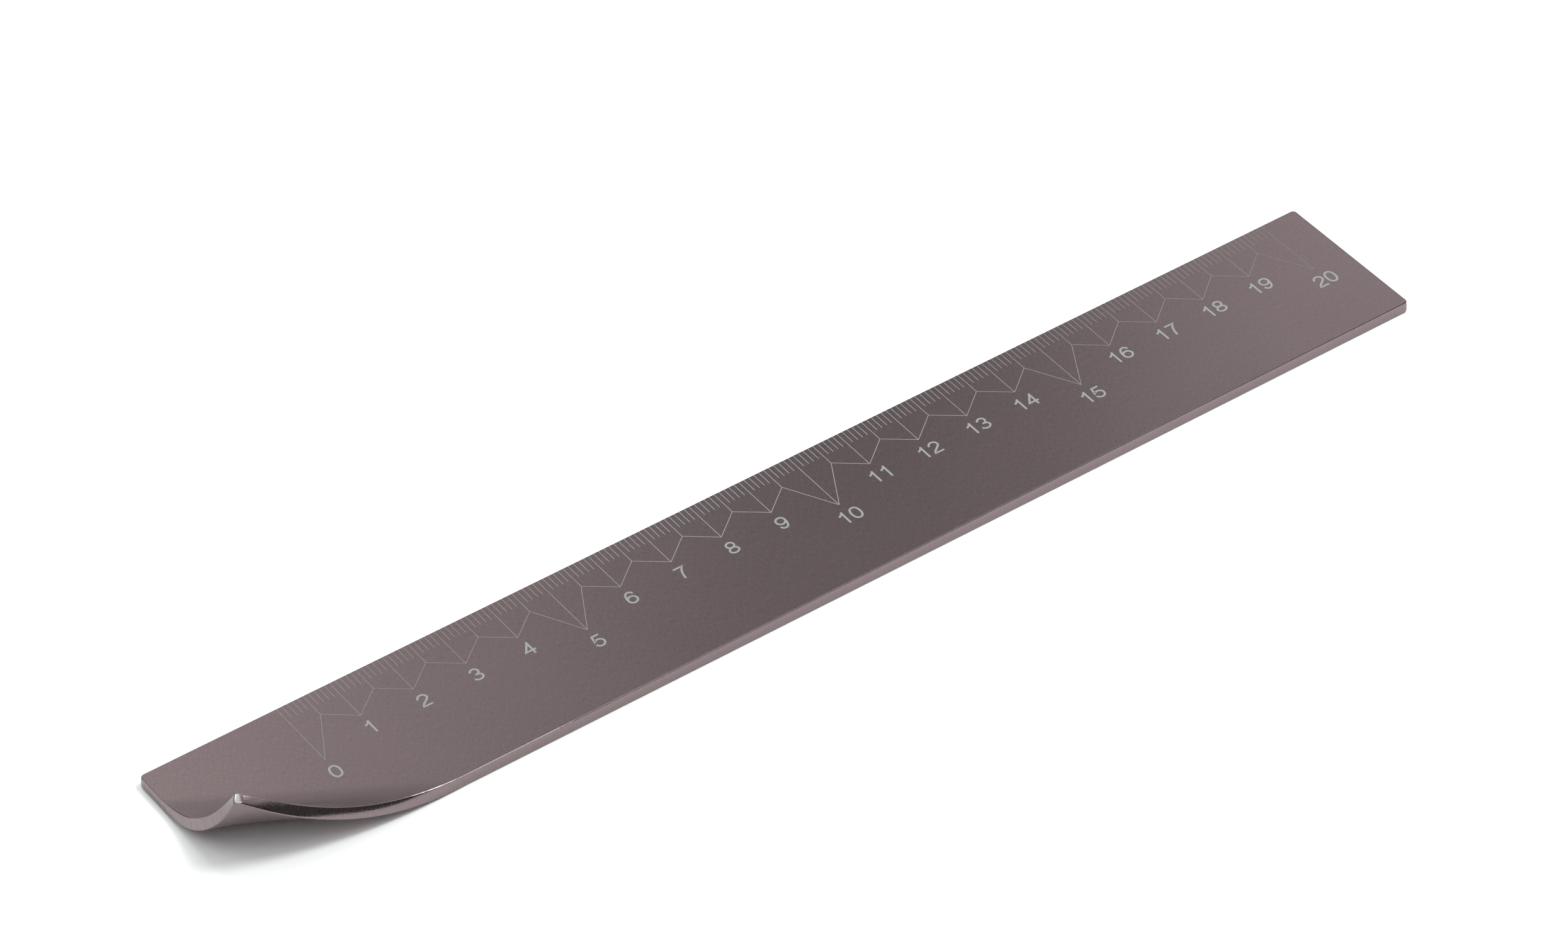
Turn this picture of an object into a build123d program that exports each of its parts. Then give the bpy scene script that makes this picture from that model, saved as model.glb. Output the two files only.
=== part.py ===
"""A 20 cm aluminium ruler with one corner curled up as a finger lift.

Millimetres. The ruler lies on its underside at z = 0, with the middle of its footprint at the origin.
X runs along the scale from 0 to 20 cm, and Y runs from the plain front edge to the graduated back edge.
"""
import os
from math import degrees, hypot

from build123d import *

os.makedirs("parts", exist_ok=True)

# Blade
length = 233.0
width = 31.0
thickness = 2.2
corner_radius = 0.9
edge_radius = 0.15

# Curled corner, at the zero end of the front edge.
# The bend line crosses the front edge and the zero end at these distances from the flat corner.
bend_on_front = 41.7
bend_on_end = 24.8
bend_radius = 13.75
tip_thickness = 1.9
tip_width = 1.0
tip_radius = 0.4

# Scale, cut into the top face along the back edge
zero_from_end = 25.5
centimetres = 20
long_line_every = 5
millimetre_line = 3.4
half_line = 5.5
centimetre_line = 9.5
long_line = 14.7
line_margin = 0.1
line_width = 0.16
line_depth = 0.05

# Worked out from the sizes above
zero_end = -length / 2
front_edge = -width / 2
back_edge = width / 2
bend_line_length = hypot(bend_on_front, bend_on_end)
bend_reach = bend_on_front * bend_on_end / bend_line_length
across_bend = Vector(bend_reach / bend_on_front, bend_reach / bend_on_end)
tip_share = tip_width / bend_line_length
zero_corner_radius = min(corner_radius, 0.9 * (width - bend_on_end))
curve_spans = 8


def on_strip(along, inward, level):
    """Where a point of the flat strip lies once the corner is curled.

    along is measured from the zero end and inward from the front edge. level runs from 0 on the
    underside to 1 on the top face. The middle of the sheet keeps its length round the bend.
    """
    beyond = bend_reach * (1 - along / bend_on_front - inward / bend_on_end)
    gauge = thickness + (tip_thickness - thickness) * beyond / bend_reach
    arm = Vector(0, (level - 0.5) * gauge - bend_radius).rotate(Axis.Z, degrees(beyond / bend_radius))
    plan = Vector(along, inward) + across_bend * (beyond - arm.X)
    height = thickness / 2 + bend_radius + arm.Y
    return Vector(plan.X + zero_end, plan.Y + front_edge, height)


def curled_edge(along, inward, level):
    """An edge of the curled corner, from the bend line to its blunt tip."""

    def place(share):
        return on_strip(along * share, inward * share, level)

    shares = [1 - (1 - tip_share) * step / curve_spans for step in range(curve_spans + 1)]
    nudge = 0.001
    tip_direction = place(tip_share - nudge) - place(tip_share + nudge)
    with BuildLine() as edge:
        Spline(*[place(share) for share in shares], tangents=[(-along, -inward, 0), tip_direction])
    return edge.edge()


def curl_section(share):
    """The sheet cut across the curl, at a share of the way out from the flat corner."""
    front, end = bend_on_front * share, bend_on_end * share
    around = [(front, 0, 0), (0, end, 0), (0, end, 1), (front, 0, 1)]
    with BuildLine() as outline:
        Polyline(*[on_strip(*corner) for corner in around], close=True)
    return Face(outline.wire())


def line_length(millimetre):
    if millimetre % (10 * long_line_every) == 0:
        return long_line
    if millimetre % 10 == 0:
        return centimetre_line
    if millimetre % 5 == 0:
        return half_line
    return millimetre_line


def line_end(millimetre):
    return Vector(zero_end + zero_from_end + millimetre, back_edge - line_length(millimetre))


def scale_line(start, stop):
    """A line of even width between two points of the top face."""
    middle = (start + stop) / 2
    run = stop - start
    with Locations(Location((middle.X, middle.Y), run.get_signed_angle(Vector(1, 0), Vector(0, 0, -1)))):
        Rectangle(run.length, line_width)


# Curl: a tapering corner of the sheet, rolled up round the bend line
front_top = curled_edge(bend_on_front, 0, 1)
front_bottom = curled_edge(bend_on_front, 0, 0)
end_top = curled_edge(0, bend_on_end, 1)
end_bottom = curled_edge(0, bend_on_end, 0)
curl_skin = [
    Face.make_surface_from_curves(front_top, end_top),
    Face.make_surface_from_curves(front_bottom, end_bottom),
    Face.make_surface_from_curves(front_top, front_bottom),
    Face.make_surface_from_curves(end_top, end_bottom),
    curl_section(1),
    curl_section(tip_share),
]
curl = Solid(Shell(curl_skin))

# Ruler blade
with BuildPart() as ruler_blade:
    with BuildSketch() as strip:
        with BuildLine():
            Polyline(
                (zero_end + bend_on_front, front_edge),
                (-zero_end, front_edge),
                (-zero_end, back_edge),
                (zero_end, back_edge),
                (zero_end, front_edge + bend_on_end),
                close=True,
            )
        make_face()
        fillet(strip.vertices().sort_by(Axis.X)[-2:], corner_radius)
        fillet(strip.vertices().sort_by_distance((zero_end, back_edge))[0], zero_corner_radius)
    extrude(amount=thickness)
    add(curl)

    tip_corners = [on_strip(bend_on_front * tip_share, 0, 0.5), on_strip(0, bend_on_end * tip_share, 0.5)]
    fillet([ruler_blade.edges().sort_by_distance(corner)[0] for corner in tip_corners], tip_radius)

    # Every rim of the top face and of the underside is rounded, the curl's as well
    flat_faces = ruler_blade.faces().sort_by(SortBy.AREA)[-2:]
    bend_lines = flat_faces.edges().sort_by(lambda edge: abs(edge.length - bend_line_length))[:2]
    sheet_faces = ruler_blade.faces().filter_by(lambda face: any(line in face.edges() for line in bend_lines))
    fillet(sheet_faces.edges() - bend_lines, edge_radius)

    with BuildSketch(Plane.XY.offset(thickness)):
        for millimetre in range(10 * centimetres + 1):
            end = line_end(millimetre)
            scale_line(end, Vector(end.X, back_edge - edge_radius - line_margin))
        for millimetre in range(0, 10 * centimetres, 5):
            scale_line(line_end(millimetre), line_end(millimetre + 5))
    extrude(amount=-line_depth, mode=Mode.SUBTRACT)

ruler_blade.part.label = "ruler_blade"
export_step(ruler_blade.part, "parts/ruler_blade.step")
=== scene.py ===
# %% [markdown]
# # A metal ruler with a curled corner
#
# The real thing is one strip of aluminium, 233 mm long, lying flat on a white table. A scale runs
# along its back edge, and one corner rolls up so that a finger can lift it.
#
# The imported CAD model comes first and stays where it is. Everything below is built round it in
# metres, in the same frame: x along the scale, y towards the graduated edge, z up from the table.

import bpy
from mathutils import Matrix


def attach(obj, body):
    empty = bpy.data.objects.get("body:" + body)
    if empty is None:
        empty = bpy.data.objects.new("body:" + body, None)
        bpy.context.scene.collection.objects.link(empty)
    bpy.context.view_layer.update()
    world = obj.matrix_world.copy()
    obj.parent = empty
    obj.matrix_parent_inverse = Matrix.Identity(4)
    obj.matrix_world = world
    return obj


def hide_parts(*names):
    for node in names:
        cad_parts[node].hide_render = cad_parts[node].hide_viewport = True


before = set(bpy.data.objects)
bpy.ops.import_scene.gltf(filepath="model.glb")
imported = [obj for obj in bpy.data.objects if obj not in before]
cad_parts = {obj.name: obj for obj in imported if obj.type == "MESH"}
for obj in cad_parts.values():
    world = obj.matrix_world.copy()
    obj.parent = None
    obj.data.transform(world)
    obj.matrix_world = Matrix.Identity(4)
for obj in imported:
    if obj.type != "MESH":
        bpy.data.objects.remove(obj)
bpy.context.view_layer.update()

# %% Modules and the unit
from math import cos, degrees, hypot, pi, radians, sin

import bpy
import numpy as np
from mathutils import Matrix, Vector

mm = 0.001

# %% [markdown]
# ## Camera
#
# The ruler carries its own ruler: the millimetre lines fix the camera exactly. It stands in front
# and to the left, looks down at about 41 degrees, and uses a long lens, so the far end is hardly
# smaller than the near end.

# %% Camera
camera_place = Vector((-0.448546, -0.649735, 0.712716))
camera_yaw, camera_pitch, camera_roll = 0.6018, 0.7231, -0.0298
lens, sensor = 149.36, 36.0
nearest_seen, furthest_seen = 0.01, 50


def camera_axes(yaw, pitch, roll):
    """Right, up and forward of a camera that turns from +Y towards +X, looks down and then rolls."""
    forward = Vector((sin(yaw) * cos(pitch), cos(yaw) * cos(pitch), -sin(pitch)))
    level = Vector((cos(yaw), -sin(yaw), 0))
    upright = level.cross(forward)
    right = cos(roll) * level + sin(roll) * upright
    up = cos(roll) * upright - sin(roll) * level
    return right, up, forward


right, up, forward = camera_axes(camera_yaw, camera_pitch, camera_roll)
camera_data = bpy.data.cameras.new("camera")
camera_data.lens = lens
camera_data.sensor_width = sensor
camera_data.clip_start, camera_data.clip_end = nearest_seen, furthest_seen
camera = bpy.data.objects.new("camera", camera_data)
bpy.context.scene.collection.objects.link(camera)
camera.matrix_world = Matrix.Translation(camera_place) @ Matrix((right, up, -forward)).transposed().to_4x4()
bpy.context.scene.camera = camera
print("camera looks down", round(degrees(camera_pitch), 1), "degrees")

# %% [markdown]
# ## The flat strip and its bend
#
# A maker cuts the strip flat and then rolls one corner round a bar that lies at a slant. The mesh
# does the same. Every point is first named by its place on the flat strip: `s` along it from the
# zero end, `d` in from the front edge and `w` up from the middle of the sheet. One function then
# says where that point goes once the corner is rolled.
#
# A bare Bend modifier would curl the strip as a pure cylinder. The real corner is pressed, and its
# middle swells outward a little, so the bend is written out here with that swell in it. The
# thickness is laid off square to the rolled sheet, because the cut sides of the real strip stay
# square to its faces. The corner's point is snipped half a millimetre short, for the blunt tip.

# %% Bend
length, width, thickness = 233.0, 31.0, 2.2
bend_on_front, bend_on_end = 41.67, 24.81
bend_radius = 13.75
swell = 1.22
tip_thickness = 1.9
tip_cut = 0.5
bend_reach = 1 / hypot(1 / bend_on_front, 1 / bend_on_end)
across_bend = np.array([bend_reach / bend_on_front, bend_reach / bend_on_end])
nudge = 0.01


def middle_of_sheet(s, d):
    """Where the middle of the strip lies once it is rolled, in millimetres, and the share of the bend.

    The share is 0 at the bend line and before it, and 1 at the flat corner.
    """
    reached = s / bend_on_front + d / bend_on_end
    beyond = np.clip(1 - reached, 0, None)
    across = (s / bend_on_front) / np.maximum(reached, 1e-9)
    middle_share = 4 * across * (1 - across)
    run = bend_reach * beyond + swell * middle_share * np.sin(pi * np.clip(beyond, 0, 1)) ** 2
    shift = run - bend_radius * np.sin(run / bend_radius)
    x = s + across_bend[0] * shift - length / 2
    y = d + across_bend[1] * shift - width / 2
    z = thickness / 2 + bend_radius * (1 - np.cos(run / bend_radius))
    return np.stack([x, y, z], -1), beyond


def rolled(s, d, w):
    """Millimetre places on the flat strip, as three arrays, to points of the frame in metres.

    Two small steps on the middle of the sheet give the direction that is square to it.
    """
    cut_off = np.clip(tip_cut - bend_reach * (s / bend_on_front + d / bend_on_end), 0, None)
    s, d = s + across_bend[0] * cut_off, d + across_bend[1] * cut_off
    middle, beyond = middle_of_sheet(s, d)
    along = middle_of_sheet(s + nudge, d)[0] - middle_of_sheet(s - nudge, d)[0]
    inward = middle_of_sheet(s, d + nudge)[0] - middle_of_sheet(s, d - nudge)[0]
    upright = np.cross(along, inward)
    upright /= np.linalg.norm(upright, axis=-1)[..., None]
    off = w * (1 + (tip_thickness / thickness - 1) * beyond)
    return (middle + upright * off[..., None]) * mm


print("the bend starts", round(bend_reach, 1), "mm from the flat corner")

# %% [markdown]
# ## The edge of the sheet
#
# The sides of the real strip are slightly bellied and widest a little below the middle. On the curl
# that decides where the mirrored white table gives way to the mirrored dark. The top rim is broken
# by a chamfer a tenth of a millimetre wide, and the lower rim is rounder. Light runs along both as
# thin lines, so they are modelled, not left to a shader. A bevel modifier would cut them too, but a
# profile written as points also gives the belly, and it stays even round the rolled corner. An
# extra ring just inside each rim keeps the shading of the flat faces flat right up to it.

# %% Edge profile
plan_radius = 0.9
inset, inner_share = 0.08, 0.5
chamfer, softening = 0.07, 0.08
under_chamfer, under_softening = 0.03, 0.22
lean_top, lean_under = radians(11), radians(-5)
quarter_turn, slope = radians(90), radians(52)
top_rim_height = chamfer + softening * (1 - sin(lean_top))
under_rim_height = under_chamfer + under_softening * (1 + sin(lean_under))
side_height = thickness - top_rim_height - under_rim_height
belly_radius = side_height / (sin(lean_top) - sin(lean_under))
rim_reach = plan_radius - chamfer - softening * cos(lean_top) - belly_radius * (1 - cos(lean_top))


def edge_profile():
    """(reach, level, side share) from the top face round the side to the underside."""
    arcs = [
        # tilt at the start and at the stop, radius, steps, chamfer to cross afterwards, side share
        (quarter_turn, slope, softening, 3, (chamfer, -chamfer), 0.0),
        (slope, lean_top, softening, 3, (0, 0), 1.0),
        (lean_top, lean_under, belly_radius, 8, (0, 0), 1.0),
        (lean_under, -slope, under_softening, 4, (-under_chamfer, -under_chamfer), 1.0),
        (-slope, -quarter_turn, under_softening, 4, (0, 0), 0.0),
    ]
    reach, level = rim_reach, thickness / 2
    points = [(reach * inner_share, level, 0.0), (reach - inset, level, 0.0), (reach, level, 0.0)]
    for start, stop, radius, steps, across_chamfer, side in arcs:
        for step in range(1, steps + 1):
            turn, before = [start + (stop - start) * k / steps for k in (step, step - 1)]
            reach += radius * (cos(turn) - cos(before))
            level += radius * (sin(turn) - sin(before))
            points.append((reach, level, side))
        if across_chamfer[0]:
            reach, level = reach + across_chamfer[0], level + across_chamfer[1]
            points.append((reach, level, 1.0 - side))
    return points + [(reach - inset, level, 0.0), (reach * inner_share, level, 0.0)]


profile = np.array(edge_profile())
print("edge profile of", len(profile), "points, flat to", round(rim_reach, 2), "mm")

# %% [markdown]
# ## The blade
#
# The top face and the underside are grids that stop 0.9 mm inside the outline, fine near the curl
# and coarse along the straight part. The edge profile is swept round them, and it fans out at the
# four corners of the plan. One closed mesh comes out, with no seams to hide.

# %% Blade grid
fine_until, fine_step = 48, 0.45
coarse_columns, rows_across = 94, 45
fan_steps = 8
fine_s = np.arange(plan_radius, fine_until, fine_step)
coarse_s = np.linspace(fine_until, length - plan_radius, coarse_columns)
grid_s = np.concatenate([fine_s, coarse_s])
grid_d = np.linspace(plan_radius, width - plan_radius, rows_across)


def outline_columns():
    """Where the edge profile stands: grid column, grid row and outward direction, all the way round."""
    last_s, last_d = len(grid_s) - 1, len(grid_d) - 1
    sides = [
        ([(i, 0) for i in range(last_s + 1)], -90),
        ([(last_s, j) for j in range(last_d + 1)], 0),
        ([(i, last_d) for i in range(last_s, -1, -1)], 90),
        ([(0, j) for j in range(last_d, -1, -1)], 180),
    ]
    columns = []
    for places, heading in sides:
        columns += [(place, heading) for place in places]
        columns += [(places[-1], heading + 90 * step / fan_steps) for step in range(1, fan_steps)]
    return columns


columns = outline_columns()
print("grid", len(grid_s), "by", len(grid_d), "and", len(columns), "columns round it")

# %% Blade mesh


def blade_points():
    """Strip places of every vertex, with the side share: the two grids first, then the profile rings."""
    s, d = [a.ravel() for a in np.meshgrid(grid_s, grid_d, indexing="ij")]
    top = np.stack([s, d, np.full(s.shape, thickness / 2), np.zeros(s.shape)], -1)
    under = top * [1, 1, -1, 1]
    base = np.array([(grid_s[i], grid_d[j]) for (i, j), _ in columns])
    heading = np.radians([angle for _, angle in columns])
    outward = np.stack([np.cos(heading), np.sin(heading)], -1)
    rings = []
    for reach, level, side in profile:
        plan = base + outward * reach
        rings.append(np.column_stack([plan, np.full(len(plan), level), np.full(len(plan), side)]))
    return np.concatenate([top, under] + rings)


def blade_faces():
    """Quads of both grids and of the swept profile. A corner's fan starts in triangles."""
    rows, count = len(grid_d), len(grid_s) * len(grid_d)
    faces = []
    for i in range(len(grid_s) - 1):
        for j in range(rows - 1):
            quad = [i * rows + j, (i + 1) * rows + j, (i + 1) * rows + j + 1, i * rows + j + 1]
            faces += [quad, [v + count for v in reversed(quad)]]
    top = [i * rows + j for (i, j), _ in columns]
    rings = [[2 * count + k * len(columns) + c for c in range(len(columns))] for k in range(len(profile))]
    loops = [top] + rings + [[v + count for v in top]]
    for upper, lower in zip(loops, loops[1:]):
        for c in range(len(columns)):
            n = (c + 1) % len(columns)
            faces.append(list(dict.fromkeys([upper[n], upper[c], lower[c], lower[n]])))
    return faces


def new_piece(name, points, faces, smooth):
    """A mesh object in the scene, from points in metres."""
    mesh = bpy.data.meshes.new(name)
    mesh.from_pydata([tuple(p) for p in points], [], faces)
    mesh.update()
    mesh.shade_smooth() if smooth else mesh.shade_flat()
    piece = bpy.data.objects.new(name, mesh)
    bpy.context.scene.collection.objects.link(piece)
    return piece


strip_points = blade_points()
blade = new_piece("blade", rolled(*strip_points[:, :3].T), blade_faces(), smooth=True)
print("blade:", len(blade.data.vertices), "vertices,", len(blade.data.polygons), "faces")

# %% [markdown]
# Three things are kept on the mesh for its finish: the flat strip's own coordinates, as a UV map, so
# that the grain follows the metal round the curl; a value that is 1 on the cut sides, which have a
# finish of their own; and a value that is 1 where a highlight is painted, as a paler metal colour, on the
# curl's rim and its blunt tip.
# The painted highlight is strongest between 44 and 57 mm from the zero end, where the curl leaves the table.

# %% Strip coordinates, side share and the mask of the painted highlight
strip_unit = 100
# Where along the rim the painted highlight lies, and how strong it is there.
highlight_places, highlight_shares = [22, 44, 57, 68], [0.1, 1, 1, 0]
highlight_cap = 0.08
corner_vertex = np.zeros(len(blade.data.loops), dtype=np.int32)
blade.data.loops.foreach_get("vertex_index", corner_vertex)
strip_map = blade.data.uv_layers.new(name="strip")
strip_map.data.foreach_set("uv", (strip_points[corner_vertex, :2] / strip_unit).astype(np.float32).ravel())


def keep(name, values):
    """Stores one number per vertex of the blade."""
    blade.data.attributes.new(name, "FLOAT", "POINT").data.foreach_set("value", values.astype(np.float32))


keep("side_share", strip_points[:, 3])
s, d, w = strip_points[:, :3].T
chamfer_top, chamfer_foot = thickness / 2 - softening / 5, thickness / 2 - chamfer - softening / 2
# Mask of the painted highlight: the top chamfer along the curl, and the blunt tip.
on_rim = (d < plan_radius) & (w > chamfer_foot) & (w < chamfer_top)
along_rim = np.interp(s, highlight_places, highlight_shares)
on_tip = bend_reach * (s / bend_on_front + d / bend_on_end) < tip_cut + highlight_cap
keep("painted_highlight_rim", np.maximum(on_rim * along_rim, on_tip))
print("bright rim on", int((on_rim * along_rim > 0).sum()), "vertices, tip on", int(on_tip.sum()))

# %% [markdown]
# ## Scale lines
#
# The scale is etched: pale, dead flat and far thinner than paint. It could be drawn in the metal's
# shader, but thin plates of real mesh stay sharp from any distance. Each line is a closed plate
# that stands a hundredth of a millimetre out of the top face and sinks a little into it.

# %% Plates
plate_rise, plate_sink = 0.01, 0.03
stroke_step = 0.002
plates = {"points": [], "faces": []}


def begin_plates():
    """Empties the plates, ready for the next piece."""
    plates["points"], plates["faces"] = [], []


def sides_of(path, pen, closed):
    """The two borders of a line of even width along a path, with mitred corners."""
    path = np.array(path, float)
    runs = np.diff(path, axis=0, append=path[:1])
    runs /= np.linalg.norm(runs, axis=1)[:, None]
    ahead, behind = runs, np.roll(runs, 1, axis=0)
    if not closed:
        ahead = np.concatenate([runs[:-1], runs[-2:-1]])
        behind = np.concatenate([runs[:1], runs[:-1]])
    normal_ahead = ahead[:, ::-1] * [-1, 1]
    normal_behind = behind[:, ::-1] * [-1, 1]
    mitre = normal_ahead + normal_behind
    mitre /= (mitre * normal_ahead).sum(1)[:, None]
    return path + mitre * pen / 2, path - mitre * pen / 2


def plate(path, pen, closed=False, extra_rise=0.0):
    """Adds a flat line along a path on the strip, as a closed solid."""
    borders = sides_of(path, pen, closed)
    rings = []
    for level in (thickness / 2 + plate_rise + extra_rise, thickness / 2 - plate_sink):
        for border in borders:
            rings.append(rolled(border[:, 0], border[:, 1], np.full(len(border), level)))
    n, first = len(path), len(plates["points"])
    plates["points"] += [tuple(p) for ring in rings for p in ring]
    top_left, top_right, low_left, low_right = [range(first + k * n, first + (k + 1) * n) for k in range(4)]
    for i in range(n if closed else n - 1):
        j = (i + 1) % n
        plates["faces"] += [
            [top_left[j], top_left[i], top_right[i], top_right[j]],
            [low_left[i], low_left[j], low_right[j], low_right[i]],
            [low_left[j], low_left[i], top_left[i], top_left[j]],
            [top_right[j], top_right[i], low_right[i], low_right[j]],
        ]
    if not closed:
        plates["faces"] += [
            [top_left[0], low_left[0], low_right[0], top_right[0]],
            [top_right[-1], low_right[-1], low_left[-1], top_left[-1]],
        ]


# %% [markdown]
# On the real scale the lines are strongest near 9 cm and thin out towards both ends, the last one
# almost to nothing. The digits don't.

# %% Lines and the zigzag that joins their ends
zero_from_end = 25.5
centimetres = 20
line_start = 0.28
line_lengths = {"long": 14.7, "centimetre": 9.5, "half": 5.5, "millimetre": 3.4}
pen_places = [0, 30, 55, 75, 95, 120, 145, 165, 185, 196, 200]
pen_widths = [0.055, 0.06, 0.085, 0.115, 0.12, 0.11, 0.085, 0.065, 0.055, 0.04, 0.03]


def line_pen(millimetre):
    """How wide the scale's line is at a place of the scale."""
    return float(np.interp(millimetre, pen_places, pen_widths))


def line_end(millimetre):
    """The inner end of a line of the scale, on the strip."""
    if millimetre % 50 == 0:
        kind = "long"
    elif millimetre % 10 == 0:
        kind = "centimetre"
    else:
        kind = "half" if millimetre % 5 == 0 else "millimetre"
    return zero_from_end + millimetre, width - line_lengths[kind]


begin_plates()
for millimetre in range(10 * centimetres + 1):
    s, d = line_end(millimetre)
    plate([(s, d), (s, width - line_start)], line_pen(millimetre))
for millimetre in range(0, 10 * centimetres, 5):
    plate([line_end(millimetre), line_end(millimetre + 5)], line_pen(millimetre + 2.5), extra_rise=stroke_step)
scale_lines = new_piece("scale_lines", plates["points"], plates["faces"], smooth=False)
print("scale lines:", len(scale_lines.data.polygons), "faces")

# %% [markdown]
# ## Numbers
#
# The numbers are plain upright numerals, 3 mm high, in strokes of one width. A text object would
# need a font file, and the built-in one has other shapes, so each numeral is a few pen strokes:
# straight runs and arcs of ellipses. Where two strokes cross, one stands two thousandths of a
# millimetre higher, so that no two faces share a plane.

# %% Numerals as pen strokes
numeral_pen = 0.37
numeral_step = 2.3
number_height = 3.0


def arc(x, y, half_width, half_height, start, stop, steps=20, squareness=2.0):
    """Points along an ellipse, or a slightly squarer oval, by angle in degrees."""
    turns = np.radians(np.linspace(start, stop, steps))
    c, s = np.cos(turns), np.sin(turns)
    power = 2 / squareness
    across, along = np.sign(c) * abs(c) ** power, np.sign(s) * abs(s) ** power
    return [(x + half_width * a, y + half_height * b) for a, b in zip(across, along)]


def curve(start, pull_start, pull_stop, stop, steps=14):
    """A cubic Bezier curve as points."""
    made = []
    for step in range(steps + 1):
        t = step / steps
        weights = ((1 - t) ** 3, 3 * t * (1 - t) ** 2, 3 * t * t * (1 - t), t ** 3)
        corners = (start, pull_start, pull_stop, stop)
        made.append(tuple(sum(w * c[k] for w, c in zip(weights, corners)) for k in (0, 1)))
    return made


def ring(x, y, half_width, half_height, squareness=2.0):
    """A closed oval stroke."""
    corners = 32
    return arc(x, y, half_width, half_height, 0, 360 - 360 / corners, corners, squareness), True


hook_of_six = curve((-0.82, 0.99), (-0.84, 2.2), (-0.45, 2.81), (0.06, 2.81)) + curve(
    (0.06, 2.81), (0.45, 2.81), (0.72, 2.6), (0.76, 2.2), 8
)[1:]
numerals = {
    "0": [ring(0, 1.5, 0.83, 1.32, 2.25)],
    "1": [
        ([(0.2, 0), (0.2, 3.0)], False),
        (curve((0.3, 2.86), (0.05, 2.5), (-0.3, 2.25), (-0.68, 2.1)), False),
    ],
    "2": [
        (
            arc(0.01, 2.02, 0.8, 0.8, 176, 0)
            + curve((0.81, 2.02), (0.81, 1.35), (-0.72, 0.95), (-0.8, 0.185), 16)[1:]
            + [(0.87, 0.185)],
            False,
        )
    ],
    "3": [
        (arc(-0.04, 2.14, 0.7, 0.675, 168, -90) + [(-0.22, 1.465)], False),
        ([(-0.21, 1.463)] + arc(-0.02, 0.825, 0.82, 0.64, 90, -168), False),
    ],
    "4": [
        ([(0.42, 0), (0.42, 3.0)], False),
        ([(1.0, 0.86), (-0.86, 0.86), (0.42, 2.72)], False),
    ],
    "5": [
        (
            [(0.82, 2.775), (-0.47, 2.775), (-0.68, 1.52)]
            + curve((-0.68, 1.52), (-0.4, 1.72), (-0.2, 1.8), (0.0, 1.8), 6)[1:]
            + arc(0.0, 0.99, 0.84, 0.81, 90, -168)[1:],
            False,
        )
    ],
    "6": [ring(0, 0.99, 0.82, 0.81), (hook_of_six, False)],
    "7": [([(-0.9, 2.775)] + curve((0.8, 2.775), (0.2, 2.1), (-0.2, 1.0), (-0.22, 0.0)), False)],
    "8": [ring(0, 2.15, 0.7, 0.665), ring(0, 0.84, 0.83, 0.655)],
}
numerals["9"] = [([(-x, number_height - y) for x, y in path], closed) for path, closed in numerals["6"]]
print("strokes per numeral:", {name: len(strokes) for name, strokes in numerals.items()})

# %% Numbers at the centimetre lines
middle_by_long_line, middle_elsewhere = 13.15, 18.35
number_shift = -0.05


def write_number(text, s, d):
    """Numerals side by side, centred on a place of the strip."""
    for place, name in enumerate(text):
        middle = s + (place - (len(text) - 1) / 2) * numeral_step
        for order, (path, closed) in enumerate(numerals[name]):
            laid = [(middle + x, d - number_height / 2 + y) for x, y in path]
            plate(laid, numeral_pen, closed, extra_rise=stroke_step * order)


begin_plates()
for number in range(centimetres + 1):
    inward = middle_elsewhere if number % 5 else middle_by_long_line
    write_number(str(number), zero_from_end + 10 * number + number_shift, inward)
scale_numbers = new_piece("scale_numbers", plates["points"], plates["faces"], smooth=False)
print("numbers:", len(scale_numbers.data.polygons), "faces")

# %% [markdown]
# ## Writing finishes as sums
#
# A finish is a small calculation on every point of the surface. The class below wraps one output
# of a node, so that `0.3 + grain * 0.05` builds the Math nodes by itself. Any node that isn't
# arithmetic comes from `Wire.made`.

# %% Wire class


class Wire:
    """The output of a node in a material. Arithmetic on it adds Math nodes to the same tree."""

    def __init__(self, tree, output):
        self.tree = tree
        self.output = output

    @classmethod
    def made(cls, tree, kind, settings=None, sockets=None, output=0):
        """Adds any node: its settings first, then the values or wires of its sockets."""
        node = tree.nodes.new("ShaderNode" + kind)
        for name, value in (settings or {}).items():
            setattr(node, name, value)
        for name, value in (sockets or {}).items():
            if isinstance(value, Wire):
                tree.links.new(value.output, node.inputs[name])
            else:
                node.inputs[name].default_value = value
        return cls(tree, node.outputs[output] if len(node.outputs) else None)

    def maths(self, operation, first, second=0.0):
        return Wire.made(self.tree, "Math", {"operation": operation}, {0: first, 1: second})

    def __add__(self, other):
        return self.maths("ADD", self, other)

    __radd__ = __add__

    def __mul__(self, other):
        return self.maths("MULTIPLY", self, other)

    __rmul__ = __mul__

    def __sub__(self, other):
        return self.maths("SUBTRACT", self, other)

    def __rsub__(self, other):
        return self.maths("SUBTRACT", other, self)

    def __pow__(self, other):
        return self.maths("POWER", self, other)


def new_material(name):
    """A material and its empty node tree."""
    material = bpy.data.materials.new(name)
    material.use_nodes = True
    material.node_tree.nodes.clear()
    return material, material.node_tree


def finish_with(tree, sockets):
    """Ends a material: a Principled shader with these sockets, wired to the output."""
    shader = Wire.made(tree, "BsdfPrincipled", sockets=sockets)
    Wire.made(tree, "OutputMaterial", sockets={"Surface": shader})


def noise(tree, place, scale, detail=2.0):
    """Soft noise from 0 to 1 at a place."""
    return Wire.made(tree, "TexNoise", sockets={"Vector": place, "Scale": scale, "Detail": detail})


def between(tree, share, first, second):
    """A colour that goes from the first to the second as the share goes from 0 to 1.

    A Mix node has sockets for numbers, vectors and colours. 6 and 7 are its two colours, and its
    output 2 is the mixed one.
    """
    return Wire.made(tree, "Mix", {"data_type": "RGBA"}, {0: share, 6: first, 7: second}, output=2)


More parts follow.
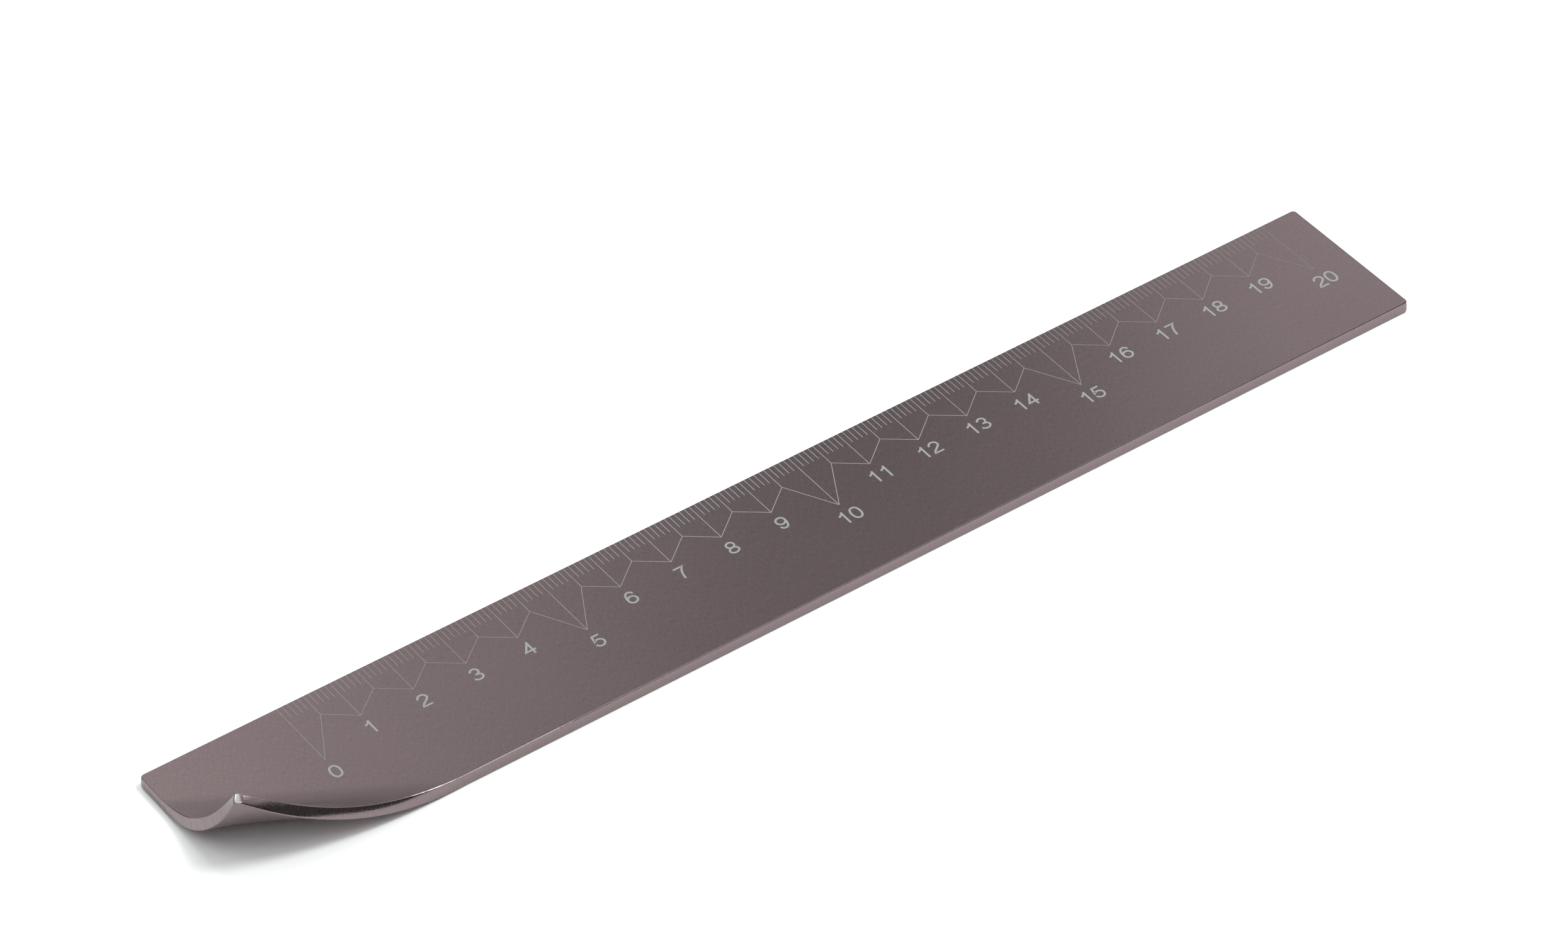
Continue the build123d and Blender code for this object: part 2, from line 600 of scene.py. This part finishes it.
# %% [markdown]
# ## Anodised aluminium
#
# The strip was finely grained across its width, then anodised a warm grey. So it is a metal whose
# colour lives in its reflections: `Metallic` is 1 and the base colour is what it makes of white.
# The grain is noise stretched in the strip's own coordinates, a tenth of a millimetre wide and
# most of a millimetre long. The sides mirror more sharply, but fine pits scatter the light on them.
# The pits show as specks in front of anything dark and vanish in front of the white table.

# %% Aluminium material
darkest_dye, palest_dye = (0.2, 0.158, 0.162, 1), (0.26, 0.205, 0.21, 1)
grain_per_unit = (560, 110, 1)
aluminium, tree = new_material("anodised_aluminium")
strip_place = Wire.made(tree, "UVMap", {"uv_map": "strip"})
solid_place = Wire.made(tree, "TexCoord", output="Object")
side = Wire.made(tree, "Attribute", {"attribute_name": "side_share"}, output="Fac")
stretched = Wire.made(tree, "Mapping", sockets={"Vector": strip_place, "Scale": grain_per_unit})
grain = noise(tree, stretched, 1.0, 2.0)
cloud = noise(tree, solid_place, 45.0, 3.0)
facets = noise(tree, solid_place, 7500.0, 1.0)
pits = Wire.made(tree, "MapRange", sockets={"Value": facets, "From Min": 0.5, "From Max": 0.7})
tone = 0.5 + (grain - 0.5) * 2.2 + (cloud - 0.5) * 0.4
dyed = between(tree, tone, darkest_dye, palest_dye)
print("dyed metal:", len(tree.nodes), "nodes")

# %% [markdown]
# A painted highlight: on the curl's chamfer and on its blunt tip the colour turns to a paler metal,
# where they catch the light. It makes a small bright cap, and a thread that breaks up into specks where it
# ends.

# %% Painted highlight on the rim, relief and shader
# Painted highlight: a paler metal colour mixed in on the chamfer and the blunt tip, where they catch the
# light.
highlight_metal = (0.58, 0.57, 0.57, 1)
highlight_mask = Wire.made(tree, "Attribute", {"attribute_name": "painted_highlight_rim"}, output="Fac")
specks = noise(tree, solid_place, 900.0, 2.0)
highlight_share = Wire.made(
    tree, "MapRange", sockets={"Value": highlight_mask + (specks - 0.5) * 0.8, "From Min": 0.5, "From Max": 0.8}
)
colour = between(tree, highlight_share, dyed, highlight_metal)
skin = (1 - side) * (0.42 + (grain - 0.5) * 0.08) + side * (0.13 + pits * 0.17)
roughness = skin + (0.3 - skin) * highlight_share
relief = (1 - side) * (grain - 0.5) * 0.15 + side * (facets - 0.5) * 0.3
bump = Wire.made(tree, "Bump", sockets={"Height": relief, "Strength": 0.3, "Distance": 0.00003})
finish_with(tree, {"Base Color": colour, "Metallic": 1.0, "Roughness": roughness, "Normal": bump})
blade.data.materials.append(aluminium)
print("aluminium:", len(tree.nodes), "nodes")

# %% [markdown]
# ## Etched marks
#
# The laser roughens the anodised skin until it scatters light like chalk: a matte, pale grey with a
# slightly uneven tone. So it isn't metallic, and it keeps the same brightness whatever the metal
# round it reflects.

# %% Etched material
darkest_mark, palest_mark = (0.33, 0.345, 0.335, 1), (0.46, 0.485, 0.475, 1)
etched, tree = new_material("etched_marks")
solid_place = Wire.made(tree, "TexCoord", output="Object")
speckle = noise(tree, solid_place, 5200.0, 2.0)
patch = noise(tree, solid_place, 300.0, 2.0)
colour = between(tree, speckle * 0.5 + patch * 0.5, darkest_mark, palest_mark)
bump = Wire.made(tree, "Bump", sockets={"Height": speckle, "Strength": 0.3, "Distance": 0.00002})
finish_with(tree, {"Base Color": colour, "Roughness": 0.6 + speckle * 0.15, "Normal": bump})
for piece in (scale_lines, scale_numbers):
    piece.data.materials.append(etched)
print("etched marks:", len(tree.nodes), "nodes")

# %% [markdown]
# ## Table
#
# A white table, wide enough to fill any view. It is lit like the ruler, so the shadow under the
# curl is its own. White paper in this light would render as a light grey. Turning the lamps up would
# bleach the ruler too, so the table's colour is raised instead, only where the camera sees it,
# straight on or mirrored in the metal. The light that it throws on the ruler stays that of paper.

# %% Floor
floor_half = 3.0
lit_white, seen_white = (0.9, 0.9, 0.9, 1), (1.37, 1.4, 1.4, 1)
floor = new_piece(
    "floor",
    [(x * floor_half, y * floor_half, 0) for x, y in ((-1, -1), (1, -1), (1, 1), (-1, 1))],
    [[0, 1, 2, 3]],
    smooth=False,
)
white, tree = new_material("white_table")
seen = Wire.made(tree, "LightPath", output="Is Camera Ray")
mirrored = Wire.made(tree, "LightPath", output="Is Glossy Ray")
through = Wire.made(tree, "LightPath", output="Is Transmission Ray")
paper = between(tree, seen + mirrored + through, lit_white, seen_white)
finish_with(tree, {"Base Color": paper, "Roughness": 1.0, "Specular IOR Level": 0.0})
floor.data.materials.append(white)
print("floor:", 2 * floor_half, "m across")

# %% [markdown]
# ## Light
#
# A grey metal in an evenly white room looks flat: its shape shows only through what it mirrors. The
# photo studio round this ruler is bright overhead and to the left, and dim along the right-hand
# horizon, which is why the curl's raised edge turns nearly black. One way to build it would be a
# dozen lamps. Here the world itself carries the wide soft panels, each a round glow in one
# direction. Real lamps do what a far panel can't: a small key throws the curl's shadow, lamps near
# both ends make the light change along the blade, and two that are aimed at the curl give its
# chamfer and its tip something bright to mirror.

# %% World of soft panels
panels = [
    # azimuth from +Y towards +X, elevation, tightness, brightness
    (0, 90, 20, 0.92),
    (180, 62, 40, 1.25),
    (270, 62, 40, 0.95),
    (315, 27, 30, 1.1),
    (240, 20, 20, 0.15),
    (18, 20, 40, 0.6),
    (15, 9, 140, 2.4),
    (150, 20, 20, 0.12),
    (90, 38, 60, 0.9),
]


def towards(azimuth, elevation):
    """A unit vector. Azimuth turns from +Y towards +X, in degrees."""
    a, e = radians(azimuth), radians(elevation)
    return Vector((sin(a) * cos(e), cos(a) * cos(e), sin(e)))


world = bpy.data.worlds.new("studio")
bpy.context.scene.world = world
world.use_nodes = True
tree = world.node_tree
tree.nodes.clear()
direction = Wire.made(tree, "TexCoord", output="Generated")
light = 0.0
for azimuth, elevation, tightness, brightness in panels:
    sockets = {0: direction, 1: towards(azimuth, elevation)}
    facing = Wire.made(tree, "VectorMath", {"operation": "DOT_PRODUCT"}, sockets, "Value")
    light = light + (facing * 0.5 + 0.5) ** tightness * brightness
background = Wire.made(tree, "Background", sockets={"Color": (1, 1, 1, 1), "Strength": light})
Wire.made(tree, "OutputWorld", sockets={"Surface": background})
print(len(panels), "soft panels in the world")

# %% Soft lamps


def soft_lamp(name, beside, azimuth, elevation, distance, size, brightness):
    """A round soft lamp that faces a place along the ruler. `brightness` 1 is a white that clips."""
    data = bpy.data.lights.new(name, "AREA")
    data.shape = "DISK"
    data.size = size
    data.energy = brightness * (pi * size / 2) ** 2
    lamp = bpy.data.objects.new(name, data)
    bpy.context.scene.collection.objects.link(lamp)
    away = towards(azimuth, elevation)
    lamp.location = Vector(((beside - length / 2) * mm, 0, 0)) + away * distance
    lamp.rotation_euler = away.to_track_quat("Z", "Y").to_euler()
    lamp.visible_camera = False


lamps = [
    # name, place along the ruler, azimuth, elevation, distance, size, brightness
    ("lamp_key", 60, 122, 64, 0.7, 0.2, 16.5),
    ("lamp_left", 20, 10, 44, 0.5, 0.2, 2.9),
    ("lamp_middle", 60, 29, 43, 0.25, 0.1, 0.6),
    ("lamp_right", 234, 41, 40, 0.3, 0.11, 2.05),
    ("lamp_far_right", 230, 65, 42, 0.4, 0.15, 0.85),
    ("lamp_tip", 2, 40, 73, 0.121, 0.04, 1.05),
    ("lamp_front", 50, 139, 50, 0.6, 0.15, 2.2),
]
for lamp in lamps:
    soft_lamp(*lamp)
print(len(lamps), "soft lamps")

# %% [markdown]
# ## Hand the pieces to the frame
#
# The blade stands for the CAD solid, which stays hidden under it for collision. The marks ride on
# the same body.

# %% Hand over
bpy.context.scene.view_settings.view_transform = "Standard"
for piece in (blade, scale_lines, scale_numbers):
    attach(piece, "root")
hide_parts("ruler_blade")
